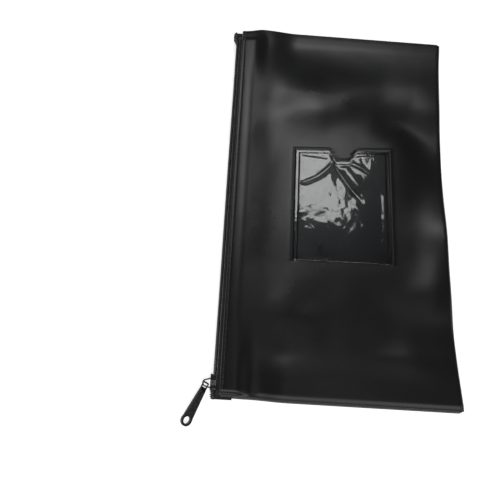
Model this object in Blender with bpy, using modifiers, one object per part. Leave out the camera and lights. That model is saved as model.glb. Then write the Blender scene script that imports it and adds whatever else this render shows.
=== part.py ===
"""Cash deposit bag, closed and lying on its back panel.

Metres, +Z up. The origin is the middle of the back panel's flat outer face. The fold is at +X, the
zip at -X, and the short seams at -Y and +Y. The slider waits at the -Y end, where the zip is shut.
"""

import math

import bmesh
import bpy
from mathutils import Matrix, Vector

# Driving dimensions
BAG_LENGTH = 0.2794  # from short seam to short seam
BAG_WIDTH = 0.1524  # from the zip coils' outer face to the fold
SHEET = 0.0007  # leatherette
GAP = 0.00025  # between pieces that touch
THREAD_R = 0.000175
ALLOWANCE = 0.008  # seam allowance turned inside at each short end
HEM_INSET = 0.0038  # from the coils' outer face to the panels' folded edge
HEM_DEPTH = 0.0084  # width turned under beside the zip
STITCH_INSET = 0.002  # topstitching, from the folded edge
STITCH_DENT = 0.0009  # rise of the back panel along its topstitching
CORNER_REACH = 0.026  # width over which a short seam climbs to the zip
FLARE_WIDTH = 0.008  # width over which the two panels part round the zip's end
PUFF_DECAY = 0.018  # how fast the panels swell away from a short seam
CROWN_POWER = 1.6  # fullness of the front panel from the fold to the zip

FILM_WIDTH, FILM_LENGTH, FILM = 0.066, 0.085, 0.00025
FILM_CENTRE = (0.0035, -0.0045)
FILM_BULGE = 0.0012
NOTCH_WIDTH, NOTCH_DEPTH = 0.020, 0.0085

TAPE = 0.00045
TAPE_FLANGE = 0.0041  # from the zip's middle plane to the tape's outer face under the hem
TAPE_BEND = 0.001
TAPE_INNER_EDGE = 0.00095
COIL_WIDTH, COIL_DEPTH, COIL_WALL = 0.0028, 0.00185, 0.00035
COIL_PART = 0.00015  # half the gap between the closed coils
COIL_SPREAD = 0.00075  # how far each coil moves out to pass the slider's post
CORD_R = 0.00032

SLIDER_Y, SLIDER_LENGTH = -0.131, 0.0105
SLIDER_WIDE, SLIDER_NARROW = 0.0049, 0.0043  # half widths at the post's end and the other end
OUTER_PLATE, INNER_PLATE, INNER_PLATE_HALF = 0.0011, 0.001, 0.003
FLANGE_WIDE, FLANGE_NARROW = 0.004, 0.0032  # half widths of the channel between the flanges
POST_HALF = 0.00065
ARCH_REACH, ARCH_R, ARCH_BAR_R, ARCH_FOOT = 0.0024, 0.0021, 0.0005, 0.003

PULL_SWING = 25.0  # degrees from -Y towards -X at rest
PULL_PITCH = 8.0  # degrees below the horizontal
PULL_LEAN = 42.0  # degrees of the tab's face from the horizontal
PULL_LENGTH, PULL_RING_R, PULL_HOLE_R = 0.0287, 0.0039, 0.0023
PULL_THICK, PULL_THIN = 0.0015, 0.0008
PULL_END_HALF, PULL_EYE_HALF, PULL_EYE_END = 0.0023, 0.0017, 0.003

# Worked out from them
SEAM_SPACE = 2 * (GAP + THREAD_R)
SEAM_R = SHEET + SEAM_SPACE / 2
SEAM_THICK = 4 * SEAM_R + GAP
HEM_R = SHEET + GAP / 2
FOLD_R = SEAM_THICK / 2
ZIP_HALF = TAPE_FLANGE + 2 * (GAP + SHEET)
ZIP_Z = STITCH_DENT + ZIP_HALF
ZIP_TOP = ZIP_Z + ZIP_HALF
SEAM_LIFT = ZIP_Z - SEAM_THICK / 2
COIL_X = -BAG_WIDTH / 2
TAPE_X = COIL_X + COIL_DEPTH + GAP
HEM_X = COIL_X + HEM_INSET
HEM_END_X = HEM_X + HEM_DEPTH
SEAM_START_X = HEM_END_X + FLARE_WIDTH
FOLD_X = BAG_WIDTH / 2 - FOLD_R
STITCH_X = HEM_X + STITCH_INSET
PANEL_END_Y = BAG_LENGTH / 2 - SEAM_R
ZIP_NEAR_Y, ZIP_FAR_Y = -BAG_LENGTH / 2 + 0.0004, BAG_LENGTH / 2 - 0.002
ARCH_CENTRE = Vector((TAPE_X - COIL_DEPTH - GAP - 0.0018 - ARCH_REACH, SLIDER_Y, ZIP_Z))
PLATE_OUT_X = ARCH_CENTRE.x + ARCH_REACH
PLATE_IN_X = PLATE_OUT_X + OUTER_PLATE

PANEL_STEP = 0.008
PANEL_ROWS = 16
FRONT, BACK = 1, -1


def smooth(t):
    t = min(max(t, 0.0), 1.0)
    return t * t * (3 - 2 * t)


def near_seam(y):
    """1 at a short seam, falling towards 0 inside the bag."""
    return math.exp(-max(PANEL_END_Y - abs(y), 0.0) / PUFF_DECAY)


def corner_rise(x):
    return smooth((SEAM_START_X + CORNER_REACH - x) / CORNER_REACH)


def zip_flare(x):
    return smooth((SEAM_START_X - x) / FLARE_WIDTH)


def front_z(x, y):
    """Height of the front panel's outer face."""
    across = min((FOLD_X - x) / (FOLD_X - HEM_END_X), 1.0)
    middle = SEAM_THICK + (ZIP_TOP - SEAM_THICK) * (1 - (1 - across) ** CROWN_POWER)
    lifted = SEAM_THICK + SEAM_LIFT * corner_rise(x)
    end = lifted + (ZIP_TOP - lifted) * zip_flare(x)
    return middle + (end - middle) * near_seam(y)


def back_z(x, y):
    """Height of the back panel's outer face."""
    middle = STITCH_DENT * smooth((SEAM_START_X + FLARE_WIDTH - x) / (2 * FLARE_WIDTH))
    lifted = SEAM_LIFT * corner_rise(x)
    end = lifted + (STITCH_DENT - lifted) * zip_flare(x)
    return middle + (end - middle) * near_seam(y)


# Scene and object helpers


def start_scene():
    for item in list(bpy.data.objects):
        bpy.data.objects.remove(item, do_unlink=True)
    for name in ("cash_deposit_bag", "cutters"):
        bpy.context.scene.collection.children.link(bpy.data.collections.new(name))


def add_object(name, data, material=None, collection="cash_deposit_bag"):
    item = bpy.data.objects.new(name, data)
    bpy.data.collections[collection].objects.link(item)
    if material:
        data.materials.append(material)
    return item


def make_material(name, colour, roughness, metallic=0.0):
    material = bpy.data.materials.new(name)
    material.use_nodes = True
    shader = material.node_tree.nodes["Principled BSDF"]
    shader.inputs["Base Color"].default_value = (*colour, 1.0)
    shader.inputs["Roughness"].default_value = roughness
    shader.inputs["Metallic"].default_value = metallic
    return material


def make_materials():
    return {
        "leatherette": make_material("leatherette", (0.012, 0.012, 0.013), 0.42),
        "film": make_material("clear_film", (0.75, 0.76, 0.78), 0.08),
        "tape": make_material("zip_tape", (0.014, 0.013, 0.011), 0.85),
        "nylon": make_material("coil_nylon", (0.016, 0.016, 0.015), 0.35),
        "cord": make_material("core_cord", (0.03, 0.03, 0.03), 0.9),
        "thread": make_material("sewing_thread", (0.02, 0.02, 0.021), 0.55),
        "enamel": make_material("slider_enamel", (0.015, 0.015, 0.016), 0.28, 0.3),
    }


def sheet_grid(columns, rows, place, keep=None):
    """An open grid whose point (i, j) stands at place(columns[i], rows[j])."""
    mesh = bmesh.new()
    bmesh.ops.create_grid(mesh, x_segments=len(columns) - 1, y_segments=len(rows) - 1, size=0.5)
    spots = {}
    for vertex in mesh.verts:
        i = round((vertex.co.x + 0.5) * (len(columns) - 1))
        j = round((vertex.co.y + 0.5) * (len(rows) - 1))
        spots[vertex] = (i, j)
    if keep:
        dropped = [face for face in mesh.faces if not keep([spots[v] for v in face.verts])]
        bmesh.ops.delete(mesh, geom=dropped, context="FACES")
    for vertex in mesh.verts:
        i, j = spots[vertex]
        vertex.co = place(columns[i], rows[j])
    return mesh


def finish_mesh(name, mesh, material, sharp_degrees=40):
    data = bpy.data.meshes.new(name)
    mesh.to_mesh(data)
    mesh.free()
    data.shade_smooth()
    data.set_sharp_from_angle(angle=math.radians(sharp_degrees))
    return add_object(name, data, material)


def thicken(item, thickness):
    """Gives an open surface its thickness on its inner side."""
    solid = item.modifiers.new("thickness", "SOLIDIFY")
    solid.thickness = thickness
    solid.offset = -1
    solid.use_even_offset = True
    return item


def tube(name, points, radius, material, sides_step=1):
    """A round thread, cord or bar along the points."""
    curve = bpy.data.curves.new(name, "CURVE")
    curve.dimensions = "3D"
    curve.bevel_depth = radius
    curve.bevel_resolution = sides_step
    curve.use_fill_caps = True
    spline = curve.splines.new("POLY")
    spline.points.add(len(points) - 1)
    for spot, point in zip(spline.points, points):
        spot.co = (*point, 1.0)
    return add_object(name, curve, material)


def flat_plate(name, outlines, thickness, place, material=None, collection="cash_deposit_bag"):
    """A plate with the outline, and any holes, of the given closed outlines."""
    curve = bpy.data.curves.new(name, "CURVE")
    curve.dimensions = "2D"
    curve.fill_mode = "BOTH"
    curve.extrude = thickness / 2
    for outline in outlines:
        spline = curve.splines.new("POLY")
        spline.points.add(len(outline) - 1)
        for spot, (x, y) in zip(spline.points, outline):
            spot.co = (x, y, 0.0, 1.0)
        spline.use_cyclic_u = True
    item = add_object(name, curve, None, collection)
    item.matrix_world = place
    return as_mesh(item, material, collection)


def as_mesh(item, material=None, collection="cash_deposit_bag"):
    """Turns a curve object into a closed mesh object that Booleans can use."""
    bpy.context.view_layer.update()
    name, place = item.name, item.matrix_world.copy()
    data = bpy.data.meshes.new_from_object(
        item.evaluated_get(bpy.context.evaluated_depsgraph_get())
    )
    bpy.data.objects.remove(item, do_unlink=True)
    mesh = bmesh.new()
    mesh.from_mesh(data)
    bmesh.ops.remove_doubles(mesh, verts=mesh.verts, dist=1e-6)
    bmesh.ops.recalc_face_normals(mesh, faces=mesh.faces)
    mesh.to_mesh(data)
    mesh.free()
    data.materials.clear()
    solid = add_object(name, data, material, collection)
    solid.matrix_world = place
    return solid


def combine(item, others, operation):
    """Adds to item a Boolean with each of the other meshes, which become hidden cutters."""
    for other in others:
        for home in other.users_collection:
            home.objects.unlink(other)
        bpy.data.collections["cutters"].objects.link(other)
        other.hide_render = True
        other.display_type = "WIRE"
        cut = item.modifiers.new(f"{operation.lower()}_{other.name}", "BOOLEAN")
        cut.operation = operation
        cut.object = other
        cut.solver = "EXACT"
    return item


def arc(centre, radius, start, stop, steps):
    """Points on an arc, angles in degrees."""
    turns = [math.radians(start + (stop - start) * k / steps) for k in range(steps + 1)]
    return [(centre[0] + radius * math.cos(t), centre[1] + radius * math.sin(t)) for t in turns]


# The bag's sheet


def panel_lines():
    """The x of each line of points from the hem's roll to the fold."""
    lines = [HEM_X + HEM_R]
    x = HEM_END_X
    while x < FOLD_X - PANEL_STEP / 2:
        lines.append(x)
        x += PANEL_STEP
    return lines + [FOLD_X]


def sheet_columns():
    """(side, x, depth) across the sheet: depth is how far the point lies inside its panel's face."""
    roll = [math.radians(-90 + 45 * k) for k in range(4)]
    front = [(FRONT, HEM_END_X, 2 * HEM_R)]
    front += [(FRONT, HEM_X + HEM_R * (1 - math.cos(t)), HEM_R * (1 - math.sin(t))) for t in roll]
    front += [(FRONT, x, 0.0) for x in panel_lines()]
    bend = [math.radians(90 - 30 * k) for k in range(1, 3)]
    front += [
        (FRONT, FOLD_X + FOLD_R * math.cos(t), FOLD_R * (1 - math.sin(t))) for t in bend
    ]
    edge = [(FRONT, FOLD_X + FOLD_R, FOLD_R)]
    back = [(BACK, x, depth) for _, x, depth in reversed(front)]
    return front + edge + back


def sheet_rows():
    """(y, turn) along the sheet: turn is the angle round a short seam's roll, or None on the allowance."""
    steps = range(-PANEL_ROWS, PANEL_ROWS + 1, 2)
    panel = [(PANEL_END_Y * math.sin(math.pi / 2 * k / PANEL_ROWS), 0.0) for k in steps]
    far = [(PANEL_END_Y, math.radians(60 * k)) for k in range(1, 4)] + [(PANEL_END_Y, None)]
    near = [(-y, turn) for y, turn in reversed(far)]
    return near + panel + far


def sheet_place(column, row):
    side, x, depth = column
    y, turn = row
    along, inward = y, depth
    if turn is None:
        along = math.copysign(abs(y) - ALLOWANCE, y)
        inward = 2 * SEAM_R
    elif turn > 0:
        along = y + math.copysign(SEAM_R * math.sin(turn), y)
        inward = SEAM_R * (1 - math.cos(turn))
    face_z = front_z(x, y) if side == FRONT else back_z(x, y)
    return Vector((x, along, face_z - side * inward))


def make_body_sheet(materials):
    columns, rows = sheet_columns(), sheet_rows()

    def keep(corners):
        turned = any(rows[j][1] != 0.0 for _, j in corners)
        seamed = all(
            columns[i][2] == 0.0 and columns[i][1] > SEAM_START_X - PANEL_STEP / 2
            for i, _ in corners
        )
        return seamed or not turned

    mesh = sheet_grid(columns, rows, sheet_place, keep)
    return thicken(finish_mesh("body_sheet", mesh, materials["leatherette"]), SHEET)


# The card window's film


def make_film(materials):
    across, along = 12, 20
    x0, y0 = FILM_CENTRE[0] - FILM_WIDTH / 2, FILM_CENTRE[1] - FILM_LENGTH / 2
    columns = [x0 + FILM_WIDTH * k / across for k in range(across + 1)]
    rows = [y0 + FILM_LENGTH * k / along for k in range(along + 1)]

    def place(x, y):
        bulge = math.sin(math.pi * (x - x0) / FILM_WIDTH) * math.sin(math.pi * (y - y0) / FILM_LENGTH)
        return Vector((x, y, front_z(x, y) + GAP + FILM + FILM_BULGE * bulge))

    def keep(corners):
        x = sum(columns[i] for i, _ in corners) / 4
        y = sum(rows[j] for _, j in corners) / 4
        notch = abs(x - FILM_CENTRE[0]) < NOTCH_WIDTH / 2 and y > rows[-1] - NOTCH_DEPTH
        return not notch

    mesh = sheet_grid(columns, rows, place, keep)
    return thicken(finish_mesh("card_window_film", mesh, materials["film"]), FILM)


# The zip


def make_tape(name, side, materials):
    bend = arc((TAPE_X + TAPE_BEND, TAPE_FLANGE - TAPE_BEND), TAPE_BEND, 180, 90, 4)
    profile = [(TAPE_X, TAPE_INNER_EDGE)] + bend + [(HEM_END_X - 2 * GAP, TAPE_FLANGE)]
    if side == BACK:
        profile.reverse()
    mesh = sheet_grid(
        profile,
        [ZIP_NEAR_Y, ZIP_FAR_Y],
        lambda spot, y: Vector((spot[0], y, ZIP_Z + side * spot[1])),
    )
    return thicken(finish_mesh(name, mesh, materials["tape"]), TAPE)


def coil_shift(y):
    """How far a coil stands out from where it is when the zip is closed."""
    return COIL_SPREAD * smooth((SLIDER_Y + 0.0015 - y) / 0.005)


def coil_stations():
    parting = [SLIDER_Y + 0.0015 - 0.001 * k for k in range(6)]
    return [ZIP_FAR_Y] + parting + [ZIP_NEAR_Y]


def coil_centre(side, y):
    middle = COIL_PART + COIL_WIDTH / 2 + coil_shift(y)
    return Vector((COIL_X + COIL_DEPTH / 2, y, ZIP_Z + side * middle))


def make_coil(name, side, materials):
    turns = [math.radians(-30 * k) for k in range(12)]
    stations = coil_stations()

    def place(turn, y):
        half = Vector((COIL_DEPTH / 2 * math.cos(turn), 0, COIL_WIDTH / 2 * math.sin(turn)))
        return coil_centre(side, y) + half

    mesh = sheet_grid(turns + [turns[0]], stations, place)
    bmesh.ops.remove_doubles(mesh, verts=mesh.verts, dist=1e-6)
    bmesh.ops.reverse_faces(mesh, faces=mesh.faces)
    return thicken(finish_mesh(name, mesh, materials["nylon"], 60), COIL_WALL)


def make_core_cord(name, side, materials):
    points = [coil_centre(side, y) for y in coil_stations()]
    return tube(name, points, CORD_R, materials["cord"])


def make_coil_thread(name, side, materials):
    out = Vector((-COIL_DEPTH / 2 - GAP - THREAD_R, 0, side * COIL_WIDTH / 6))
    points = [coil_centre(side, y) + out for y in coil_stations()]
    return tube(name, points, THREAD_R, materials["thread"])


# The slider and its pull


def facing_out(x):
    """Places a flat outline in a plane of constant x: its own x along Y and its own y along Z."""
    turn = Matrix(((0, 0, 1), (1, 0, 0), (0, 1, 0))).to_4x4()
    return Matrix.Translation((x, SLIDER_Y, ZIP_Z)) @ turn


def slider_outline(wide, narrow, half_length):
    """Wide at the post's end, narrow at the other, with cut corners."""
    cut = 0.0009
    upper = [
        (-half_length, wide - cut),
        (-half_length + cut, wide),
        (-half_length * 0.45, wide),
        (half_length * 0.2, narrow),
        (half_length - 1.4 * cut, narrow),
        (half_length, narrow - 1.4 * cut),
    ]
    return upper + [(x, -y) for x, y in reversed(upper)]


def make_flange(side):
    """One side wall of the slider's channel."""
    reach = SLIDER_LENGTH / 2 - 0.0004
    outer = 0.0002
    outline = [
        (-reach, FLANGE_WIDE),
        (-reach * 0.5, FLANGE_WIDE),
        (reach * 0.35, FLANGE_NARROW),
        (reach, FLANGE_NARROW),
        (reach, SLIDER_NARROW - 5 * outer),
        (reach - 4 * outer, SLIDER_NARROW - outer),
        (reach * 0.25, SLIDER_NARROW - outer),
        (-reach * 0.5, SLIDER_WIDE - outer),
        (-reach + 3 * outer, SLIDER_WIDE - outer),
        (-reach, SLIDER_WIDE - 3 * outer),
    ]
    outline = [(x, side * y) for x, y in outline]
    inside, outside = TAPE_X - GAP, PLATE_IN_X - 0.0003
    place = facing_out((inside + outside) / 2)
    name = "front_flange" if side == FRONT else "back_flange"
    return flat_plate(name, [outline], inside - outside, place)


def make_post():
    half = SLIDER_LENGTH / 2
    outline = [
        (-half + 0.0004, POST_HALF),
        (-half + 0.0021, POST_HALF),
        (-half + 0.0034, POST_HALF * 0.4),
        (-half + 0.0034, -POST_HALF * 0.4),
        (-half + 0.0021, -POST_HALF),
        (-half + 0.0004, -POST_HALF),
    ]
    outside, inside = PLATE_IN_X - 0.0003, TAPE_X + TAPE + GAP + 0.0003
    return flat_plate("post", [outline], inside - outside, facing_out((inside + outside) / 2))


def make_arch():
    """The bridge over the outer plate that the pull hangs in."""
    foot_x = PLATE_OUT_X + 0.0004
    crown = arc((ARCH_CENTRE.x, SLIDER_Y), ARCH_R, 270, 90, 10)
    outline = [(foot_x, SLIDER_Y - ARCH_FOOT)] + crown + [(foot_x, SLIDER_Y + ARCH_FOOT)]
    return as_mesh(tube("arch", [(x, y, ZIP_Z) for x, y in outline], ARCH_BAR_R, None, 2))


def make_slider(materials):
    half = SLIDER_LENGTH / 2
    outer = slider_outline(SLIDER_WIDE, SLIDER_NARROW, half)
    place = facing_out((PLATE_OUT_X + PLATE_IN_X) / 2)
    body = flat_plate("zip_slider", [outer], OUTER_PLATE, place, materials["enamel"])
    inner_x = TAPE_X + TAPE + GAP + INNER_PLATE / 2
    inner = slider_outline(INNER_PLATE_HALF, 0.95 * INNER_PLATE_HALF, half - 0.0002)
    plate = flat_plate("inner_plate", [inner], INNER_PLATE, facing_out(inner_x))
    parts = [make_flange(FRONT), make_flange(BACK), make_post(), plate, make_arch()]
    return combine(body, parts, "UNION")


def pull_outline():
    """The tab from its eye, at the origin, to its ring, along +X."""
    corner = 0.0007
    ring_x = PULL_LENGTH - PULL_RING_R
    upper = [
        (-0.0005, PULL_END_HALF - corner),
        (-0.0005 + corner, PULL_END_HALF),
        (PULL_EYE_END + 0.0006, PULL_END_HALF),
        (PULL_EYE_END + 0.0018, PULL_END_HALF * 0.95),
        (ring_x - 0.0022, PULL_RING_R * 0.9),
    ]
    upper += arc((ring_x, 0), PULL_RING_R, 105, 15, 5)
    return upper + [(x, -y) for x, y in reversed(upper)]


def pull_recess():
    """The sunken middle of each face, between its raised rims."""
    start, end, rim = PULL_EYE_END + 0.0028, PULL_LENGTH - 2 * PULL_RING_R - 0.001, 0.0009
    upper = [
        (start, PULL_END_HALF - 2 * rim),
        (start + 0.0006, PULL_END_HALF - rim),
        (end - 0.0008, PULL_RING_R * 0.86 - rim),
        (end, PULL_RING_R * 0.86 - 2 * rim),
    ]
    return upper + [(x, -y) for x, y in reversed(upper)]


def pull_place():
    """The tab's own frame: +X along it, +Y across it, +Z out of its upper face."""
    swing, pitch = math.radians(PULL_SWING), math.radians(PULL_PITCH)
    lean = math.radians(PULL_LEAN)
    along = Vector(
        (-math.sin(swing) * math.cos(pitch), -math.cos(swing) * math.cos(pitch), -math.sin(pitch))
    )
    inward = Vector((math.cos(swing), -math.sin(swing), 0.0))
    up = along.cross(inward)
    across = inward * math.cos(lean) - up * math.sin(lean)
    out = along.cross(across)
    turn = Matrix((along, across, out)).transposed().to_4x4()
    return Matrix.Translation(ARCH_CENTRE) @ turn


def make_pull(materials):
    place = pull_place()
    ring = arc((PULL_LENGTH - PULL_RING_R, 0), PULL_HOLE_R, 0, 360, 16)[:-1]
    eye = [(0.0005, PULL_EYE_HALF), (0.0018, PULL_EYE_HALF), (PULL_EYE_END, PULL_EYE_HALF * 0.8)]
    eye += [(x, -y) for x, y in reversed(eye)]
    outlines = [pull_outline(), ring, eye]
    pull = flat_plate("zip_pull", outlines, PULL_THICK, place, materials["enamel"])
    thin_end = PULL_EYE_END + 0.0014
    end_outline = [(-0.002, -0.004), (thin_end, -0.004), (thin_end, 0.004), (-0.002, 0.004)]
    sunk = (PULL_THICK - PULL_THIN) / 2
    cutters = []
    for name, way in (("upper", 1), ("lower", -1)):
        lift = Matrix.Translation((0, 0, way * (PULL_THIN / 2 + sunk)))
        cutters.append(
            flat_plate(f"{name}_recess", [pull_recess()], 2 * sunk, place @ lift, None, "cutters")
        )
        cutters.append(
            flat_plate(f"{name}_end", [end_outline], 2 * sunk, place @ lift, None, "cutters")
        )
    return combine(pull, cutters, "DIFFERENCE")


# The sewing


def make_topstitch(side, materials):
    face = "front" if side == FRONT else "back"
    reach = PANEL_END_Y - 0.001
    depths = {
        "needle": ZIP_HALF + GAP + THREAD_R,
        "bobbin": TAPE_FLANGE - TAPE - GAP - THREAD_R,
    }
    for kind, depth in depths.items():
        points = [(STITCH_X, way * reach, ZIP_Z + side * depth) for way in (-1, 1)]
        tube(f"{face}_topstitch_{kind}_thread", points, THREAD_R, materials["thread"])


def make_seam_threads(end, way, materials):
    lines = [x for x in panel_lines() if x > SEAM_START_X - PANEL_STEP / 2]
    inset = 0.0012
    y = way * (PANEL_END_Y - inset)
    seam_y = way * PANEL_END_Y
    needle = [(x, y, front_z(x, seam_y) - SEAM_R) for x in lines]
    bobbin = [(x, y, back_z(x, seam_y) + SEAM_R) for x in lines]
    tube(f"{end}_seam_needle_thread", needle, THREAD_R, materials["thread"], 0)
    tube(f"{end}_seam_bobbin_thread", bobbin, THREAD_R, materials["thread"], 0)


def make_bag():
    start_scene()
    materials = make_materials()
    make_body_sheet(materials)
    make_film(materials)
    for face, side in (("front", FRONT), ("back", BACK)):
        make_tape(f"zip_tape_{face}", side, materials)
        make_coil(f"zip_coil_{face}", side, materials)
        make_core_cord(f"zip_core_cord_{face}", side, materials)
        make_coil_thread(f"zip_sewing_thread_{face}", side, materials)
        make_topstitch(side, materials)
    make_slider(materials)
    make_pull(materials)
    make_seam_threads("near", -1, materials)
    make_seam_threads("far", 1, materials)


make_bag()
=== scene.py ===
"""Looks of the cash deposit bag: leatherette shell, zip, card window, sewing, light and camera.

Metres, in the CAD model's frame: +Z out of the front panel, the zip at -X, the slider at -Y.
"""

import math

import bpy
import numpy as np
from mathutils import Matrix, Vector, noise


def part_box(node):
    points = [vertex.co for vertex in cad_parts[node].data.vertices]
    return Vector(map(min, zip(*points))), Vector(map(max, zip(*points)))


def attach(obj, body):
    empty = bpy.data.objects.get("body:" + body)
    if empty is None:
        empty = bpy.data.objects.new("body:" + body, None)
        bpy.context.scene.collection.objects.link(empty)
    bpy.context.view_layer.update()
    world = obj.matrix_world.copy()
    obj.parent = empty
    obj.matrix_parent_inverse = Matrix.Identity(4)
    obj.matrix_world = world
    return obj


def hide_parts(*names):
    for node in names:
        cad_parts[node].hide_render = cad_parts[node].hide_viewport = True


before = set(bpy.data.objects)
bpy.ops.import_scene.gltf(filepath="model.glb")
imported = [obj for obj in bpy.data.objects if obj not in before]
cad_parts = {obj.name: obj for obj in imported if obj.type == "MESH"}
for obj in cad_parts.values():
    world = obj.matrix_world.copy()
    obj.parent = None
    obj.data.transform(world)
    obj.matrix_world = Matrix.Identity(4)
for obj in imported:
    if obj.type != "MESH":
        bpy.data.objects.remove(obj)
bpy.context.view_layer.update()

# The sheet, sewing and zip, as the CAD model has them
SHEET = 0.0007
GAP = 0.00025
THREAD_R = 0.000175
ALLOWANCE = 0.008
HEM_DEPTH = 0.0084
STITCH_INSET = 0.002
CORNER_REACH = 0.026  # how far the seams' lift at the zip runs into the panels
CORNER_END = 0.004  # how far past the flare the gathered corner ends
FLARE_WIDTH = 0.008  # the hem's roll widens to the seam's over this
SEAM_FLAT, SEAM_RISE = 0.012, 0.044  # the short seams' allowances lie flat, then the panels rise
FOLD_SINK = 0.0028  # between the seams the fold lies lower than their four layers
HEM_DROP, HEM_DROP_WIDTH = 0.0011, 0.014  # the slack panel sinks beside the stiff hem
FRONT, BACK = 1, -1

body_low, body_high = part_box("body_sheet")
film_low, film_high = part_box("card_window_film")
tape_low, tape_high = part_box("zip_tape_front")
coil_low, coil_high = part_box("zip_coil_front")
back_coil_low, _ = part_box("zip_coil_back")
slider_low, slider_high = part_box("zip_slider")

SEAM_R = SHEET + GAP + THREAD_R
SEAM_THICK = 4 * SEAM_R + GAP
HEM_R = SHEET + GAP / 2
FOLD_R = SEAM_THICK / 2
ZIP_Z = (coil_high.z + back_coil_low.z) / 2
ZIP_TOP = body_high.z
ZIP_HALF = ZIP_TOP - ZIP_Z
STITCH_DENT = ZIP_Z - ZIP_HALF
SEAM_LIFT = ZIP_Z - SEAM_THICK / 2
HEM_X = body_low.x
HEM_END_X = HEM_X + HEM_DEPTH
SEAM_START_X = HEM_END_X + FLARE_WIDTH
STITCH_X = HEM_X + STITCH_INSET
FOLD_X = body_high.x - FOLD_R
PANEL_END_Y = body_high.y - SEAM_R
TAPE_X = tape_low.x
FLANGE = tape_high.z - ZIP_Z
COIL_OUT = TAPE_X - (coil_low.x + coil_high.x) / 2
ZIP_NEAR_Y = tape_low.y - 0.0013  # the tapes reach a little past the CAD model's
FILM_MIDDLE = (film_low.x + film_high.x) / 2
WINDOW_Y = (film_low.y + film_high.y) / 2
SLIDER_Y = (slider_low.y + slider_high.y) / 2

# Finer things than the CAD model has
STITCH = 0.0037
SEAM_STITCH = 0.0032
WELD = 0.0024
TAPE_THICK = 0.00045
WEB_EDGE = 0.00095  # the tape's free edge over the zip's middle plane, inside the coil
CORD_HALF_THICK, CORD_FLATNESS = 0.00031, 2.9
COIL_PITCH = 0.00135
COIL_WIRE_R = 0.0003
COIL_TOP = 0.00295  # the closed coil's height over the zip's middle plane
COIL_REACH = 0.00035  # how far a closed coil's heads pass the zip's middle plane
COIL_MIDDLE = (COIL_TOP - COIL_REACH) / 2
POINTS_PER_TURN = 16
COIL_SEWN_AT = 0.0019  # how high on the coil its sewing runs
ZIP_FOLD = math.radians(83)  # how far the zip turns inwards at its ends
NEAR_FOLD_Y, NEAR_FOLD_RUN = 0.1352, 0.0041  # where each end starts to turn, and over what length
FAR_FOLD_Y, FAR_FOLD_RUN = tape_high.y - 0.0112, 0.0085
FAR_CLOSE_RUN = 0.0145  # the hems close more gently than the far end of the zip turns
CLEAR = 0.00003  # pieces that touch in life are this far apart
FILM_THICK, FILM_BULGE = 0.00025, 0.0006
NOTCH_DEPTH = 0.0088
NOTCH_HALF, NOTCH_SIDE = 0.0102, 0.0062  # half the notch's width, and the run of its sloped sides
FAR_EDGE_SLOPE, NEAR_EDGE_SLOPE = 0.072, 0.026  # the film was welded on slightly askew

# The panel's fine relief: groove and lip at the film's weld, furrow at the stitches, ridge at a seam
GROOVE_DEEP, GROOVE_SIDE, WELD_SPREAD = 0.0005, 0.0006, 0.0004
LIP_HIGH, LIP_OUT, LIP_WIDE = 0.00032, 0.0013, 0.0007
FURROW_DEEP, HOLE_DEEP, FURROW_WIDE = 0.00010, 0.00014, 0.0007
PILLOW_HIGH, PILLOW_OUT, PILLOW_WIDE = 0.00016, 0.0034, 0.0024
STEP_DEEP, STEP_HALF, STEP_FADE = 0.00018, 0.001, 0.012
NEAR_RIDGE, FAR_RIDGE = (0.00080, 0.024), (0.00012, 0.006)  # height and width
RIDGE_START, EDGE_ROUND = 0.010, 0.0032
GATHER_DEEP, GATHER_WIDE = 0.00006, 0.0016

# How the bag has settled
FOLD_PULLED_IN, FOLD_RUN_OUT = 0.0012, 0.0042  # at the middle, and towards the ends
FOLD_MOVES_FROM = -0.010  # the x that the fold's moves fade to nothing at
ZIP_DRAWN_IN, SEAM_DRAWN_IN, ZIP_DRAWN_WIDTH = 0.0024, 0.0021, 0.014
DRAWN_FROM_Y, DRAWN_RUN = 0.098, 0.040
WINDOW_Z, WINDOW_SLOPES, WINDOW_MARGIN = 0.0077, (-0.026, -0.006), 0.034


# Surfaces


def smooth(t):
    t = np.clip(t, 0.0, 1.0)
    return t * t * (3 - 2 * t)


def bell(distance, width):
    return np.exp(-((distance / width) ** 2))


def from_seam(y):
    """How far inside the bag's nearer short seam."""
    return PANEL_END_Y - np.abs(y)


def near_seam(y):
    """1 on a short seam's allowance, falling to 0 inside the bag."""
    return 1 - smooth((from_seam(y) - SEAM_FLAT) / SEAM_RISE)


def near_fold(y):
    return ZIP_FOLD * smooth((-y - NEAR_FOLD_Y) / NEAR_FOLD_RUN)


def zip_fold(y):
    """How far each half of the zip has turned inwards, in radians, where a short seam closes it."""
    return near_fold(y) + ZIP_FOLD * smooth((y - FAR_FOLD_Y) / FAR_FOLD_RUN)


def zip_half(y):
    """Half the distance between the outer faces of the two hems."""
    far = (1 - math.cos(ZIP_FOLD)) * smooth((y - FAR_FOLD_Y) / FAR_CLOSE_RUN)
    return ZIP_HALF - FLANGE * (1 - np.cos(near_fold(y)) + far)


def at_corner(x):
    """1 over the hem, 0 where the short seam has gathered both panels."""
    return smooth((SEAM_START_X + CORNER_END - x) / (SEAM_START_X + CORNER_END - HEM_END_X))


def by_corner(x):
    """1 at the zip, 0 where the seams' lift has run out into the panels."""
    return smooth((SEAM_START_X + CORNER_REACH - x) / CORNER_REACH)


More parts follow.
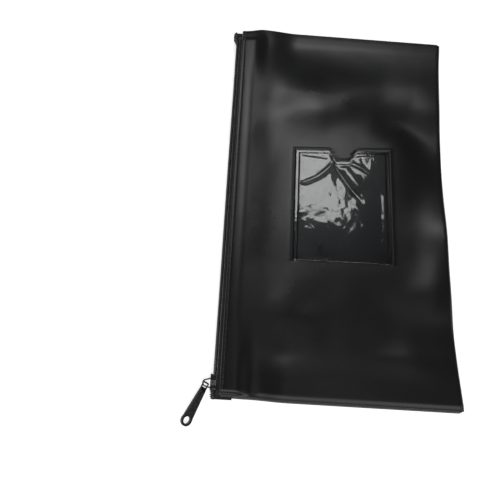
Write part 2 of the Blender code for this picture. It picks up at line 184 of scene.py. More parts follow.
def front_base(x, y):
    """Height of the front panel, slack but without its folds."""
    across = np.minimum((FOLD_X - x) / (FOLD_X - HEM_END_X), 1.0)
    beside = np.exp(-np.maximum(x - HEM_END_X, 0.0) / HEM_DROP_WIDTH)
    at_fold = SEAM_THICK - FOLD_SINK
    middle = at_fold + (ZIP_TOP - at_fold - HEM_DROP) * across + HEM_DROP * beside
    lifted = SEAM_THICK + SEAM_LIFT * by_corner(x)
    panel = middle + (lifted - middle) * near_seam(y)
    at_hem = ZIP_TOP + (SEAM_THICK + SEAM_LIFT - ZIP_TOP) * near_seam(y)
    return panel + (ZIP_Z + zip_half(y) - at_hem) * at_corner(x)


def back_base(x, y):
    middle = STITCH_DENT * smooth((SEAM_START_X + FLARE_WIDTH - x) / (2 * FLARE_WIDTH))
    lifted = SEAM_LIFT * by_corner(x)
    panel = middle + (lifted - middle) * near_seam(y)
    at_hem = STITCH_DENT + (SEAM_LIFT - STITCH_DENT) * near_seam(y)
    return panel + (ZIP_Z - zip_half(y) - at_hem) * at_corner(x)


def swell(x, y, centre, reach, turn, height):
    """A soft rise, or a hollow, over an ellipse turned by that many degrees from +X."""
    c, s = math.cos(math.radians(turn)), math.sin(math.radians(turn))
    u = ((x - centre[0]) * c + (y - centre[1]) * s) / reach[0]
    v = ((y - centre[1]) * c - (x - centre[0]) * s) / reach[1]
    return height * np.exp(-u * u - v * v)


# Where the slack front panel stands proud or sinks: centre, reach, turn in degrees, height
FRONT_SWELLS = (
    ((0.002, 0.086), (0.056, 0.026), 34, 0.0022),  # crest from beside the zip to the far corner
    ((-0.064, 0.062), (0.040, 0.024), 70, -0.0024),  # hollow between that crest and the hem
    ((0.088, 0.102), (0.048, 0.044), 0, 0.0062),  # puff in the far corner beside the fold
    ((0.050, 0.062), (0.030, 0.018), -35, -0.0024),  # hollow past the window's far corner
    ((0.086, -0.022), (0.034, 0.027), 0, 0.0070),  # two puffs along the fold
    ((0.068, -0.064), (0.027, 0.022), 0, 0.0050),
    ((-0.042, -0.114), (0.026, 0.018), 20, 0.0017),  # low puffs beside the near seam
    ((0.046, -0.118), (0.022, 0.014), 0, 0.0020),
)
RIPPLES, RIPPLE_STEEP = 7, 0.0018
PUFFS_FADE_FAR, PUFFS_FADE_NEAR, PUFFS_FADE_HEM = 0.054, 0.022, 0.026


def ripple(x, y):
    """A faint unevenness of the whole sheet, out of waves of 20 to 50 mm that cross each other."""
    total = 0 * (x + y)
    for k in range(RIPPLES):
        turn, wave = 2.4 * k, 0.020 + 0.005 * k
        along = x * math.cos(turn) + y * math.sin(turn)
        total = total + wave * np.sin(2 * math.pi * along / wave + 1.7 * k)
    return RIPPLE_STEEP * total


def front_relief(x, y):
    """The puffs and ripples, which fade out towards the seams and the hem."""
    fade = np.where(y > 0, PUFFS_FADE_FAR, PUFFS_FADE_NEAR)
    free = smooth((from_seam(y) - SEAM_FLAT) / fade) * smooth((x - HEM_END_X) / PUFFS_FADE_HEM)
    total = sum(swell(x, y, *stroke) for stroke in FRONT_SWELLS)
    return free * (total + ripple(x, y))


def film_near(x):
    return film_low.y + NEAR_EDGE_SLOPE * (x - FILM_MIDDLE)


def film_far(x):
    return film_high.y + FAR_EDGE_SLOPE * (x - FILM_MIDDLE)


def film_notch(x):
    """1 at the middle of the thumb notch in the film's far edge, 0 beside it."""
    return smooth((NOTCH_HALF - np.abs(x - FILM_MIDDLE)) / NOTCH_SIDE)


def window_groove(x, y):
    """How far the front panel is pressed in under the film's welded band."""
    far = film_far(x) - NOTCH_DEPTH * film_notch(x)
    side = np.maximum(np.maximum(film_low.x - x, x - film_high.x), y - far)
    outside, inside = np.maximum(side, 0.0), np.maximum(-side, 0.0)
    along = smooth((y - film_near(x) + GROOVE_SIDE) / (2 * GROOVE_SIDE))
    under_weld = smooth((WELD + WELD_SPREAD - inside) / (WELD_SPREAD + GROOVE_SIDE))
    pressed = GROOVE_DEEP * smooth(1 - outside / GROOVE_SIDE) * under_weld
    return along * (pressed - LIP_HIGH * bell(side - LIP_OUT, LIP_WIDE))


def hem_relief(x, y):
    """A furrow with a dimple at each needle hole, a pillow beside it and a step at the hem's end."""
    hole = 0.5 + 0.5 * np.cos(2 * math.pi * y / STITCH)
    furrow = (FURROW_DEEP + HOLE_DEEP * hole**3) * bell(x - STITCH_X, FURROW_WIDE)
    pillow = PILLOW_HIGH * bell(x - STITCH_X - PILLOW_OUT, PILLOW_WIDE)
    step = STEP_DEEP * smooth((x - HEM_END_X + STEP_HALF) / (2 * STEP_HALF))
    step = step * smooth((HEM_END_X + STEP_FADE - x) / STEP_FADE)
    return (pillow - step) * (1 - near_seam(y)) - furrow


def seam_relief(x, y):
    """The turned allowance shows as a low ridge along each short seam, gathered by its stitches."""
    inset = from_seam(y)
    start = smooth((x - SEAM_START_X) / RIDGE_START)
    high, wide = (np.where(y < 0, near, far) for near, far in zip(NEAR_RIDGE, FAR_RIDGE))
    ridge = high * smooth((ALLOWANCE + 0.75 * wide - inset) / wide) * smooth(inset / EDGE_ROUND)
    stitches = np.cos(2 * math.pi * x / SEAM_STITCH)
    gather = GATHER_DEEP * stitches * np.exp(-np.maximum(inset, 0) / GATHER_WIDE)
    return start * (ridge + gather)


def window_plate(x, y, z):
    """The film and its welds keep the panel under them nearly flat."""
    past_x = np.maximum(np.abs(x - FILM_MIDDLE) - (film_high.x - film_low.x) / 2, 0.0)
    past_y = np.maximum(np.abs(y - WINDOW_Y) - (film_high.y - film_low.y) / 2, 0.0)
    past = np.hypot(past_x, past_y)
    plane = WINDOW_Z + WINDOW_SLOPES[0] * (x - FILM_MIDDLE) + WINDOW_SLOPES[1] * (y - WINDOW_Y)
    return z + (plane - z) * smooth(1 - past / WINDOW_MARGIN)


def front_z(x, y):
    """Height of the front panel's outer face."""
    panel = window_plate(x, y, front_base(x, y) + front_relief(x, y))
    return panel + hem_relief(x, y) + seam_relief(x, y) - window_groove(x, y)


def back_z(x, y):
    return back_base(x, y) - hem_relief(x, y)


def settled(points):
    """Points of the bag as made, moved to where it has come to rest.

    The fold runs out towards both ends, where the flat seams hold the bag at its full width, and
    the zip's short tapes draw in its far end.
    """
    x, y, z = np.moveaxis(np.asarray(points, float), -1, 0)
    out = -FOLD_PULLED_IN + FOLD_RUN_OUT * np.abs(y / body_high.y) ** 3
    out = out * smooth((x - FOLD_MOVES_FROM) / (FOLD_X - FOLD_MOVES_FROM))
    drawn = SEAM_DRAWN_IN * by_corner(x) + ZIP_DRAWN_IN * smooth((SEAM_START_X - x) / ZIP_DRAWN_WIDTH)
    drawn = drawn * smooth((y - DRAWN_FROM_Y) / DRAWN_RUN)
    return np.stack([x + out, y - drawn, z], axis=-1)


# Meshes


def add_object(name, data, material):
    item = bpy.data.objects.new(name, data)
    bpy.context.scene.collection.objects.link(item)
    data.materials.append(material)
    return item


def mesh_of(points, faces, material, name):
    """A smooth mesh of four-sided faces, of only the points that they use."""
    data = bpy.data.meshes.new(name)
    used, faces = np.unique(np.asarray(faces), return_inverse=True)
    faces = faces.reshape(-1, 4)
    data.from_pydata(points.reshape(-1, 3)[used].tolist(), [], faces.tolist())
    data.shade_smooth()
    return add_object(name, data, material)


def grid_faces(across, along):
    index = np.arange(across * along).reshape(across, along)
    corners = [index[:-1, :-1], index[1:, :-1], index[1:, 1:], index[:-1, 1:]]
    return np.stack(corners, axis=-1)


def thicken(item, thickness):
    """A sheet's outer face gets its thickness inwards."""
    solid = item.modifiers.new("thickness", "SOLIDIFY")
    solid.thickness = thickness
    solid.offset = -1
    solid.use_even_offset = True
    return item


def tube(name, path, radius, across, material, sides=8, flat=1.0):
    """A thread or wire along the path, flat times as wide in the direction across as it is thick.

    The path's run is never parallel to across, which is one direction or one for each point.
    """
    path = np.asarray(path, float)
    run = np.gradient(path, axis=0)
    run /= np.linalg.norm(run, axis=1, keepdims=True)
    first = np.cross(run, np.asarray(across, float))
    first /= np.linalg.norm(first, axis=1, keepdims=True)
    second = np.cross(run, first)
    turn = 2 * math.pi * np.arange(sides) / sides
    ring = np.cos(turn)[:, None] * first[:, None, :] + flat * np.sin(turn)[:, None] * second[:, None, :]
    points = path[:, None, :] + radius * ring
    index = np.arange(len(path) * sides).reshape(len(path), sides)
    after = np.roll(index, -1, axis=1)
    walls = np.stack([index[:-1], after[:-1], after[1:], index[1:]], axis=-1).reshape(-1, 4)
    data = bpy.data.meshes.new(name)
    caps = [index[0][::-1].tolist(), index[-1].tolist()]
    data.from_pydata(points.reshape(-1, 3).tolist(), [], walls.tolist() + caps)
    data.shade_smooth()
    return add_object(name, data, material)


def spread(*stops):
    """Values through the stops (start, end, step), each run evenly spaced."""
    runs = [np.linspace(a, b, max(round(abs(b - a) / step), 1), endpoint=False) for a, b, step in stops]
    return np.concatenate([*runs, [stops[-1][1]]])


# Materials

MIX_A, MIX_B, MIX_RESULT = 6, 7, 2  # the colour sockets of a mix node, which share their names


def waves(item, place, scale, distortion, direction):
    inputs = {"Vector": place, "Scale": scale, "Distortion": distortion}
    return node(item, "ShaderNodeTexWave", inputs, bands_direction=direction).outputs["Fac"]


def new_material(name, **sockets):
    item = bpy.data.materials.new(name)
    item.use_nodes = True
    shader = item.node_tree.nodes["Principled BSDF"]
    for socket, value in sockets.items():
        shader.inputs[socket.replace("_", " ")].default_value = value
    return item, shader


def node(item, kind, inputs=None, **settings):
    """A shader node with these settings, its inputs set to values or linked to sockets."""
    made = item.node_tree.nodes.new(kind)
    for key, value in settings.items():
        setattr(made, key, value)
    for socket, value in (inputs or {}).items():
        if isinstance(value, bpy.types.NodeSocket):
            item.node_tree.links.new(value, made.inputs[socket])
        else:
            made.inputs[socket].default_value = value
    return made


def link(item, source, target):
    item.node_tree.links.new(source, target)


def place_of(item):
    return node(item, "ShaderNodeTexCoord").outputs["Object"]


def ranged(item, value, low, high, start=0.0, end=1.0):
    """value from start..end mapped to low..high."""
    inputs = {"Value": value, "From Min": start, "From Max": end, "To Min": low, "To Max": high}
    return node(item, "ShaderNodeMapRange", inputs).outputs["Result"]


def blended(item, share, one, two):
    """Colour one where share is 0 and colour two where it is 1."""
    mix = node(item, "ShaderNodeMix", {0: share}, data_type="RGBA")
    mix.inputs[MIX_A].default_value = (*one, 1.0)
    mix.inputs[MIX_B].default_value = (*two, 1.0)
    return mix.outputs[MIX_RESULT]


def noise_at(item, place, scale, detail=2.0, rough=0.5):
    inputs = {"Vector": place, "Scale": scale, "Detail": detail, "Roughness": rough}
    return node(item, "ShaderNodeTexNoise", inputs).outputs["Fac"]


def added(item, one, two, operation="ADD"):
    return node(item, "ShaderNodeMath", {0: one, 1: two}, operation=operation).outputs[0]


def bumped(item, height, strength, distance, normal=None):
    inputs = {"Height": height, "Strength": strength, "Distance": distance}
    if normal is not None:
        inputs["Normal"] = normal
    return node(item, "ShaderNodeBump", inputs).outputs["Normal"]


def leatherette_material():
    item, shader = new_material("leatherette", IOR=1.45)
    place = place_of(item)
    pebble = node(
        item, "ShaderNodeTexVoronoi", {"Vector": place, "Scale": 1500.0}, feature="SMOOTH_F1"
    ).outputs["Distance"]
    pores = noise_at(item, place, 5200.0, 3.0)
    grain = added(item, pebble, ranged(item, pores, 0.0, 0.5))
    drape = noise_at(item, place, 60.0, 3.0)
    normal = bumped(item, drape, 0.25, 0.0006)
    link(item, bumped(item, grain, 0.16, 0.00006, normal), shader.inputs["Normal"])
    clouds = noise_at(item, place, 26.0, 4.0)
    link(item, ranged(item, clouds, 0.26, 0.33, 0.3, 0.7), shader.inputs["Roughness"])
    worn = ranged(item, node(item, "ShaderNodeNewGeometry").outputs["Pointiness"], 0, 1, 0.52, 0.62)
    link(item, blended(item, worn, (0.0070, 0.0070, 0.0074), (0.022, 0.022, 0.023)),
         shader.inputs["Base Color"])
    return item


def film_material():
    item, shader = new_material(
        "clear_film",
        Base_Color=(0.74, 0.75, 0.76, 1.0),
        Transmission_Weight=1.0,
        IOR=1.5,
    )
    place = place_of(item)
    smear = noise_at(item, place, 90.0, 4.0)
    link(item, ranged(item, smear, 0.02, 0.07, 0.35, 0.75), shader.inputs["Roughness"])
    ripple = noise_at(item, place, 420.0, 2.0)
    link(item, bumped(item, ripple, 0.25, 0.0001), shader.inputs["Normal"])
    return item


def tape_material():
    """Ribbed polyester weave: warp ribs along the zip crossed by finer picks."""
    item, shader = new_material("zip_tape", Specular_IOR_Level=0.3, Sheen_Weight=0.15)
    place = place_of(item)
    picks = waves(item, place, 700.0, 0.4, "Y")
    ribs = waves(item, place, 520.0, 0.6, "Z")
    weave = added(item, picks, ribs, "MULTIPLY")
    link(item, bumped(item, weave, 0.6, 0.00012), shader.inputs["Normal"])
    link(item, blended(item, weave, (0.010, 0.009, 0.008), (0.030, 0.028, 0.024)),
         shader.inputs["Base Color"])
    link(item, ranged(item, weave, 0.7, 0.9), shader.inputs["Roughness"])
    return item


def nylon_material():
    item, shader = new_material("coil_nylon", IOR=1.53)
    place = place_of(item)
    streaks = noise_at(item, place, 900.0, 3.0)
    link(item, ranged(item, streaks, 0.22, 0.42, 0.3, 0.7), shader.inputs["Roughness"])
    link(item, blended(item, streaks, (0.012, 0.011, 0.010), (0.030, 0.028, 0.025)),
         shader.inputs["Base Color"])
    link(item, bumped(item, streaks, 0.15, 0.00005), shader.inputs["Normal"])
    return item


def thread_material(name, colour, twist):
    """Twisted fibre: slanting bands along the thread."""
    item, shader = new_material(name, Sheen_Weight=0.2)
    place = place_of(item)
    ply = waves(item, place, twist, 0.8, "DIAGONAL")
    dark = tuple(0.5 * c for c in colour)
    link(item, blended(item, ply, dark, colour), shader.inputs["Base Color"])
    link(item, bumped(item, ply, 0.5, 0.00008), shader.inputs["Normal"])
    link(item, ranged(item, ply, 0.45, 0.65), shader.inputs["Roughness"])
    return item


def enamel_material():
    """Black enamel on die-cast zinc, rubbed through to bare metal on its sharpest edges."""
    item, shader = new_material("slider_enamel", IOR=1.5, Coat_Weight=0.3, Coat_Roughness=0.12)
    place = place_of(item)
    peel = noise_at(item, place, 900.0, 2.0)
    point = node(item, "ShaderNodeNewGeometry").outputs["Pointiness"]
    scuffs = noise_at(item, place, 600.0, 4.0, 0.7)
    rubbed = added(item, ranged(item, point, 0, 1, 0.56, 0.66), ranged(item, scuffs, 0, 1, 0.5, 0.7),
                   "MULTIPLY")
    link(item, blended(item, rubbed, (0.012, 0.012, 0.013), (0.30, 0.30, 0.31)),
         shader.inputs["Base Color"])
    link(item, ranged(item, rubbed, 0.15, 1.0), shader.inputs["Metallic"])
    link(item, ranged(item, scuffs, 0.2, 0.36, 0.3, 0.7), shader.inputs["Roughness"])
    link(item, bumped(item, peel, 0.12, 0.00008), shader.inputs["Normal"])
    return item


def floor_material():
    item, shader = new_material(
        "pale_floor", Roughness=0.6, Emission_Strength=0.62, Emission_Color=(1.0, 1.0, 1.0, 1.0)
    )
    haze = noise_at(item, place_of(item), 3.0, 2.0)
    link(item, blended(item, haze, (0.90, 0.90, 0.90), (0.94, 0.94, 0.94)),
         shader.inputs["Base Color"])
    return item


# The bag's shell


def panel_lines(side):
    """The x of each line of points from the hem's roll to the fold, closer together at details."""
    edge = HEM_X + HEM_R
    if side == BACK:
        return spread((edge, HEM_END_X, 0.0006), (HEM_END_X, FOLD_X, 0.0025))
    x0, x1 = film_low.x, film_high.x
    past_furrow = STITCH_X + 0.0012
    rim, past_weld = 0.0018, WELD + 0.0009
    fine, plain = 0.0003, 0.0016
    return spread(
        (edge, past_furrow, 0.0004),
        (past_furrow, x0 - rim, plain),
        (x0 - rim, x0 + past_weld, fine),
        (x0 + past_weld, x1 - past_weld, 0.0018),
        (x1 - past_weld, x1 + rim, fine),
        (x1 + rim, FOLD_X, plain),
    )


def shell_columns():
    """side, x, depth below its panel's face and share of the fold's half height, for each line."""
    columns = []
    for side in (FRONT, BACK):
        under = [(x, 2 * HEM_R) for x in np.linspace(HEM_END_X, HEM_X + HEM_R, 6)[:-1]]
        roll = [
            (HEM_X + HEM_R * (1 - math.cos(t)), HEM_R * (1 - math.sin(t)))
            for t in np.radians(np.arange(-90, 90, 15))
        ]
        bend = [
            (FOLD_X + FOLD_R * math.cos(t), 1 - math.sin(t))
            for t in np.radians(np.arange(75, 0, -15))
        ]
        half = [(side, x, depth, 0.0) for x, depth in under + roll]
        half += [(side, x, 0.0, 0.0) for x in panel_lines(side)]
        half += [(side, x, 0.0, share) for x, share in bend]
        if side == FRONT:
            columns = half + [(FRONT, FOLD_X + FOLD_R, 0.0, 1.0)]
        else:
            columns += half[::-1]
    return np.array(columns).T


def shell_rows():
    """y, and the angle round a short seam's roll or -1 on the allowance, of each row of points."""
    quarter, fine_step = STITCH / 4, 0.0004
    count = int(PANEL_END_Y / quarter)
    x0, x1 = film_low.x, film_high.x
    fine = np.concatenate(
        [np.arange(film_near(x0) - 0.0006, film_near(x1) + 0.0010, fine_step),
         np.arange(film_far(x0) - NOTCH_DEPTH - 0.002, film_far(x1) + 0.0024, fine_step)]
    )
    plain = quarter * np.arange(-count, count + 1)
    plain = [y for y in plain if np.abs(fine - y).min() > fine_step / 2]
    panel = np.sort(np.concatenate([plain, fine, [-PANEL_END_Y, PANEL_END_Y]]))
    turns = np.radians(np.arange(15, 181, 15))
    inner = [PANEL_END_Y - 0.003, PANEL_END_Y - ALLOWANCE]
    y = np.concatenate(
        [-np.array(inner[::-1]), np.full(len(turns), -PANEL_END_Y), panel,
         np.full(len(turns), PANEL_END_Y), inner]
    )
    turn = np.concatenate([[-1, -1], turns[::-1], np.zeros(len(panel)), turns, [-1, -1]])
    return y, turn


def make_shell(material):
    """One sheet: the front panel, the fold and the back panel, with their hems and allowances."""
    side, x, depth, share = (values[:, None] for values in shell_columns())
    y, turn = (values[None, :] for values in shell_rows())
    end_y = np.clip(y, -PANEL_END_Y, PANEL_END_Y)
    end_y = np.where(turn < 0, np.sign(y) * PANEL_END_Y, end_y)
    face = np.where(side == FRONT, front_z(x, end_y), back_z(x, end_y))
    radius = HEM_R + (SEAM_R - HEM_R) * smooth((x - HEM_END_X) / FLARE_WIDTH)
    rolled = turn > 0
    along = y + np.where(rolled, np.sign(y) * radius * np.sin(turn), 0.0)
    bent = share * (front_z(FOLD_X, end_y) - back_z(FOLD_X, end_y)) / 2
    inward = depth + bent + np.where(rolled, radius * (1 - np.cos(turn)), 0.0)
    inward = np.where(turn < 0, 2 * radius, inward)
    z = face - side * inward
    points = settled(np.stack([x + 0 * z, along + 0 * z, z], axis=-1))
    faces = grid_faces(*z.shape)
    column_depth, column_x, row_turn = (depth + share)[:, 0], x[:, 0], turn[0]
    outer = (column_depth[:-1] == 0) & (column_depth[1:] == 0)
    seamed = outer & (column_x[:-1] > SEAM_START_X) & (column_x[1:] > SEAM_START_X)
    plain = (row_turn[:-1] == 0) & (row_turn[1:] == 0)
    allowance = (row_turn[:-1] < 0) | (row_turn[1:] < 0)
    keep = plain[None, :] | (outer[:, None] & ~allowance[None, :]) | (seamed[:, None] & allowance)
    return thicken(mesh_of(points, faces[keep], material, "bag_shell"), SHEET)


# The card window


def make_film(material):
    """Follows the panel where it is welded, and bulges and creases where it is free."""
    x0, x1 = film_low.x, film_high.x
    rim, run = WELD + 0.0012, film_high.y - film_low.y
    fine, plain = 0.0003, 0.0006
    across = spread((x0, x0 + rim, fine), (x0 + rim, x1 - rim, plain), (x1 - rim, x1, fine))
    far_rim = 1 - 2 * WELD / run
    share = spread((0.0, far_rim, plain / run), (far_rim, 1.0, fine / run))
    x, v = across[:, None], share[None, :]
    near, far = film_near(x), film_far(x) - NOTCH_DEPTH * film_notch(x)
    y = near + v * (far - near)
    inside = np.minimum(np.minimum(x - x0, x1 - x), film_far(x) - y)
    inside = np.minimum(inside, (far - y) * 0.8) - WELD
    free = smooth(inside / 0.0028)
    bulge = FILM_BULGE * smooth(inside / 0.016) * (0.45 + 0.55 * smooth((y - near) / 0.03))
    lift = 0.0002 * free + bulge + free * film_creases(x, y)
    z = front_z(x, y) + FILM_THICK + CLEAR + lift
    points = np.stack([x + 0 * z, y, z], axis=-1)
    film = mesh_of(settled(points), grid_faces(*z.shape), material, "card_window_sleeve")
    return thicken(film, FILM_THICK)


# Creases that fan out from the thumb notch: start, end, sag to one side, half width, height
CREASES = (
    ((-0.003, 0.029), (-0.027, 0.009), 0.0035, 0.0017, 0.0005),
    ((-0.003, 0.026), (0.017, -0.002), -0.001, 0.0014, -0.0005),
    ((0.004, 0.026), (0.018, 0.006), -0.001, 0.0030, 0.0006),
    ((0.006, 0.029), (0.034, 0.004), 0.004, 0.0014, 0.0006),
    ((0.0325, 0.010), (0.0325, -0.044), 0.0, 0.0012, 0.0004),
    ((0.012, -0.006), (0.022, -0.040), 0.004, 0.0016, 0.0003),
    ((-0.026, 0.033), (-0.006, 0.031), 0.0, 0.0012, -0.0003),
)


def film_creases(x, y):
    """Height of the film's creases, and of the fine waves between them."""
    total = 0 * (x + y)
    for start, end, sag, width, height in CREASES:
        run = np.subtract(end, start)
        length = math.hypot(*run)
        run = run / length
        u = ((x - start[0]) * run[0] + (y - start[1]) * run[1]) / length
        aside = (y - start[1]) * run[0] - (x - start[0]) * run[1] - sag * 4 * u * (1 - u)
        ends = smooth((u + 0.06) / 0.12) * smooth((1.06 - u) / 0.3)
        total = total + height * ends * bell(aside, width)
    wave = np.vectorize(lambda a, b: noise.noise((a * 260, b * 200, 1.7)))
    crumple = np.vectorize(lambda a, b: noise.noise((a * 620, b * 560, 5.3)))
    return total + 0.00006 * wave(x, y) + 0.000008 * crumple(x, y)


# The zip


def on_zip(height, out, y, side):
    """x and z of a point of one half of the zip.

    height runs along the tape's standing web from the zip's middle plane, out stands off its face.
    """
    turn = zip_fold(y)
    x = TAPE_X + (height - FLANGE) * np.sin(turn) - out * np.cos(turn)
    z = ZIP_Z + side * (height * np.cos(turn) + out * np.sin(turn))
    return x, z


def make_tape(face, side, material):
    """The web stands behind the coil, and the flange bends away from it and lies under the hem."""
    bend = 0.001
    out = tape_low.x - coil_high.x - CLEAR
    web = [(height, 0.0) for height in np.linspace(WEB_EDGE, FLANGE - bend, 9)[:-1]]
    round_bend = [(FLANGE - bend * (1 - t) ** 2, bend * t**2) for t in np.linspace(0, 1, 7)]
    flange = [(FLANGE, run) for run in np.linspace(bend, tape_high.x - tape_low.x, 8)[1:]]
    height, run = np.array(web + round_bend + flange).T[:, :, None]
    y = np.linspace(ZIP_NEAR_Y, tape_high.y, 360)[None, :]
    x, z = on_zip(height, out * smooth((bend - run) / bend), y, side)
    points = np.stack([x + run, y + 0 * x, z], axis=-1)
    faces = grid_faces(*x.shape)
    if side == BACK:
        faces = faces[..., ::-1]
    tape = mesh_of(settled(points), faces, material, f"woven_zip_tape_{face}")
    return thicken(tape, TAPE_THICK)


def coil_shift(y):
    """How far a coil stands out from where it is when the zip is closed."""
    return (coil_high.z - ZIP_Z - COIL_TOP) * smooth((SLIDER_Y + 0.0015 - y) / 0.005)


def make_coil(face, side, material):
    """Flattened turns of wire: straight across outside, and stepping to the next at the tape."""
    near, far = ZIP_NEAR_Y + 0.0004, tape_high.y - 0.0003
    turns = int((far - near) / COIL_PITCH) - 1
    t = np.linspace(0, turns, turns * POINTS_PER_TURN + 1)
    share = t % 1.0  # of a turn: little of its step comes outside, and most of it at the tape
    step = np.floor(t) + 0.12 * share + 0.88 * smooth((share - 0.30) / 0.40)
    y = near + 0.25 * COIL_PITCH * (1 + side) + COIL_PITCH * step
    angle = 2 * math.pi * t
    flat = (np.cos(angle) ** 4 + np.sin(angle) ** 4) ** -0.25  # a round turn made nearly square
    half_out = (coil_high.x - coil_low.x) / 2 - COIL_WIRE_R
    half_high = (COIL_TOP + COIL_REACH) / 2 - COIL_WIRE_R
    height = COIL_MIDDLE + coil_shift(y) + half_high * flat * np.sin(angle)
    x, z = on_zip(height, COIL_OUT + half_out * flat * np.cos(angle), y, side)
    path = settled(np.stack([x, y, z], axis=-1))
    return tube(f"coil_teeth_{face}", path, COIL_WIRE_R, (0, 1, 0), material, 8)


def make_core_cord(face, side, material):
    """The flat cord that fills the coil."""
    y = np.linspace(ZIP_NEAR_Y + 0.0005, tape_high.y, 500)
    x, z = on_zip(COIL_MIDDLE + coil_shift(y), COIL_OUT, y, side)
    path = settled(np.stack([x, y, z], axis=-1))
    turn = zip_fold(y)
    tall = np.stack([np.sin(turn), 0 * y, side * np.cos(turn)], axis=-1)
    name = f"coil_core_cord_{face}"
    return tube(name, path, CORD_HALF_THICK, tall, material, flat=CORD_FLATNESS)


def make_coil_thread(face, side, material):
    """Lies over each turn of the coil and dips between the turns to the tape."""
    y = np.linspace(ZIP_NEAR_Y + 0.0005, tape_high.y - 0.001, 1800)
    dip, sway = 0.00045, 0.00012
    turn = 2 * math.pi * (y - tape_low.y) / COIL_PITCH
    over = TAPE_X - coil_low.x + THREAD_R + 0.00005
    out = over - dip * (0.5 + 0.5 * np.cos(turn))
    x, z = on_zip(COIL_SEWN_AT + coil_shift(y) + sway * np.sin(turn / 2), out, y, side)
    path = settled(np.stack([x, y, z], axis=-1))
    return tube(f"coil_lockstitch_{face}", path, THREAD_R, (0, 0, 1), material, 6)


# The sewing

POINTS_PER_STITCH = 8
NEEDLE_SUNK, BOBBIN_SUNK = 0.0004, 0.0002  # how deep each thread of the topstitch dives at a hole
BOBBIN_UNDER = 0.0008  # the bobbin thread's depth under the hem's two layers
END_STITCH_IN, SEAM_STITCH_IN = 0.0015, 0.0012


def stitched(base, outward, stitch, count, sunk):
    """Points of a thread that lies on base(s) for a stitch and dives by sunk at each hole."""
    points = []
    for k in range(count):
        last = k == count - 1
        for u in np.linspace(0, 1, POINTS_PER_STITCH + 1)[: POINTS_PER_STITCH + last]:
            over = 1 - abs(2 * u - 1) ** 6
            lift = THREAD_R * 0.75 * over - sunk * (1 - over)
            points.append(np.array(base(stitch * (k + u))) + lift * np.array(outward))
    return points


def make_topstitch(face, side, material):
    """The two threads of the lockstitch beside the zip, on the hem's face and inside the bag."""
    count = 2 * int((PANEL_END_Y - END_STITCH_IN) / STITCH)
    start = -count / 2 * STITCH
    surface = front_z if side == FRONT else back_z

    def needle(s):
        y = start + s
        return (STITCH_X, y, float(surface(np.array(STITCH_X), np.array(y))))

    def bobbin(s):
        y = start + s
        depth = 2 * (SHEET + GAP) + BOBBIN_UNDER
        return (STITCH_X, y, ZIP_Z + side * (float(zip_half(y)) - depth))

    top = stitched(needle, (0, 0, side), STITCH, count, NEEDLE_SUNK)
    low = stitched(bobbin, (0, 0, -side), STITCH, count, BOBBIN_SUNK)
    return (
        tube(f"{face}_hem_needle_stitches", settled(top), THREAD_R, (1, 0, 0), material),
        tube(f"{face}_hem_bobbin_stitches", settled(low), THREAD_R, (1, 0, 0), material),
    )


def make_seam_thread(end, kind, material):
    """One of the two threads that close a short seam, between a panel and its allowance."""
    way = 1 if end == "far" else -1
    count = int((FOLD_X - SEAM_START_X) / SEAM_STITCH)
    y = way * (PANEL_END_Y - SEAM_STITCH_IN)

    def run(s):
        x = np.array(SEAM_START_X + s)
        if kind == "needle":
            return (float(x), y, float(front_base(x, y)) - SEAM_R)
        return (float(x), y, float(back_base(x, y)) + SEAM_R)

    points = stitched(run, (0, 0, 0), SEAM_STITCH, count, 0.0)
    return tube(f"{end}_seam_{kind}_stitches", settled(points), THREAD_R, (0, 1, 0), material)


# Light, floor and camera


# Each light's name, place, size and radiance: all of them face the middle of the bag
LIGHTS = (
    ("softbox", (0.070, 0.780, 1.15), (0.50, 0.40), 4.4),  # gives the panel and film their highlights
    ("overhead", (0.20, -0.05, 1.3), (0.5, 0.4), 0.4),
    ("left_fill", (-1.5, -0.1, 0.75), (1.0, 0.8), 2.6),
    ("right_fill", (1.5, -0.3, 0.75), (1.0, 0.8), 1.2),
    ("front_fill", (0.1, -0.95, 1.10), (1.6, 1.2), 1.9),
)
FLOOR_HALF, FLOOR_DROP = 2.5, 0.00015
WORLD_COLOUR, WORLD_STRENGTH = (0.94, 0.97, 1.0, 1.0), 0.07


def area_light(name, place, size, radiance):
    light = bpy.data.lights.new(name, "AREA")
    light.shape = "RECTANGLE"
    light.size, light.size_y = size
    light.energy = radiance * math.pi * size[0] * size[1]
    item = bpy.data.objects.new(name, light)
    bpy.context.scene.collection.objects.link(item)
    item.location = place
    item.rotation_euler = (-Vector(place)).to_track_quat("-Z", "Y").to_euler()


def make_stage(material):
    corners = ((-1, -1), (1, -1), (1, 1), (-1, 1))
    points = np.array([(FLOOR_HALF * x, FLOOR_HALF * y, -FLOOR_DROP) for x, y in corners])
    floor = mesh_of(points, [[0, 1, 2, 3]], material, "floor")
    for name, place, size, radiance in LIGHTS:
        area_light(name, place, size, radiance)
    world = bpy.data.worlds.new("studio")
    world.use_nodes = True
    backdrop = world.node_tree.nodes["Background"]
    backdrop.inputs["Color"].default_value = WORLD_COLOUR
    backdrop.inputs["Strength"].default_value = WORLD_STRENGTH
    bpy.context.scene.world = world
    bpy.context.scene.view_settings.view_transform = "Standard"


CAMERA_AZIMUTH, CAMERA_ELEVATION, CAMERA_ROLL = 4.7, 67.25, 8.13
CAMERA_TARGET = Vector((-0.0579, -0.0391, 0.0))
CAMERA_DISTANCE = 0.4673
CAMERA_LENS = 50.4


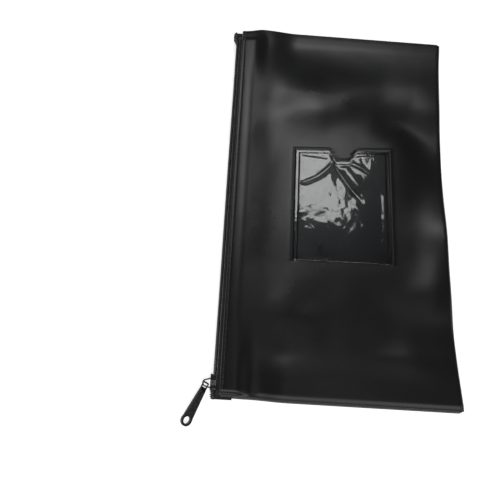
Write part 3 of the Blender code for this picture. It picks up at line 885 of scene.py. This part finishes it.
def make_camera():
    azimuth, elevation = math.radians(CAMERA_AZIMUTH), math.radians(CAMERA_ELEVATION)
    level = math.cos(elevation)
    ahead = Vector((math.sin(azimuth) * level, math.cos(azimuth) * level, -math.sin(elevation)))
    right = Vector((math.cos(azimuth), -math.sin(azimuth), 0.0))
    up = right.cross(ahead)
    axes = Matrix((right, up, -ahead)).transposed().to_4x4()
    data = bpy.data.cameras.new("camera")
    data.sensor_width = 36.0
    data.lens = CAMERA_LENS
    data.clip_start = 0.01
    camera = bpy.data.objects.new("camera", data)
    bpy.context.scene.collection.objects.link(camera)
    roll = Matrix.Rotation(math.radians(CAMERA_ROLL), 4, "Z")
    place = CAMERA_TARGET - CAMERA_DISTANCE * ahead
    camera.matrix_world = Matrix.Translation(place) @ axes @ roll
    bpy.context.scene.camera = camera


# Putting it together


CAST_VOXEL = 0.00009


def stand_for(piece, cad_node):
    """A piece of the bag's body that takes the place of one CAD node."""
    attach(piece, "bag")
    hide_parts(cad_node)


def cast(node_name, material):
    """A die-cast CAD piece keeps its shape, with its edges rounded off and its enamel on."""
    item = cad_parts[node_name]
    item.data.materials.clear()
    item.data.materials.append(material)
    weld = item.modifiers.new("weld", "WELD")
    weld.merge_threshold = 0.00001
    remesh = item.modifiers.new("cast", "REMESH")
    remesh.mode = "VOXEL"
    remesh.voxel_size = CAST_VOXEL
    remesh.use_smooth_shade = True
    soften = item.modifiers.new("soften", "SMOOTH")
    soften.factor = 0.5
    soften.iterations = 8


def make_bag():
    leatherette = leatherette_material()
    shell = make_shell(leatherette)
    stand_for(shell, "body_sheet")
    film = make_film(film_material())
    stand_for(film, "card_window_film")
    tape, nylon, enamel = tape_material(), nylon_material(), enamel_material()
    thread = thread_material("sewing_thread", (0.030, 0.030, 0.032), 900.0)
    cord = thread_material("core_cord", (0.05, 0.05, 0.05), 700.0)
    for face, side in (("front", FRONT), ("back", BACK)):
        woven = make_tape(face, side, tape)
        stand_for(woven, f"zip_tape_{face}")
        stand_for(make_coil(face, side, nylon), f"zip_coil_{face}")
        sewn = make_coil_thread(face, side, thread)
        stand_for(sewn, f"zip_sewing_thread_{face}")
        top, low = make_topstitch(face, side, thread)
        stand_for(top, f"{face}_topstitch_needle_thread")
        stand_for(low, f"{face}_topstitch_bobbin_thread")
        stand_for(make_core_cord(face, side, cord), f"zip_core_cord_{face}")
    for end in ("near", "far"):
        for kind in ("needle", "bobbin"):
            stitches = make_seam_thread(end, kind, thread)
            stand_for(stitches, f"{end}_seam_{kind}_thread")
    cast("zip_slider", enamel)
    cast("zip_pull", enamel)


make_camera()
make_stage(floor_material())
make_bag()
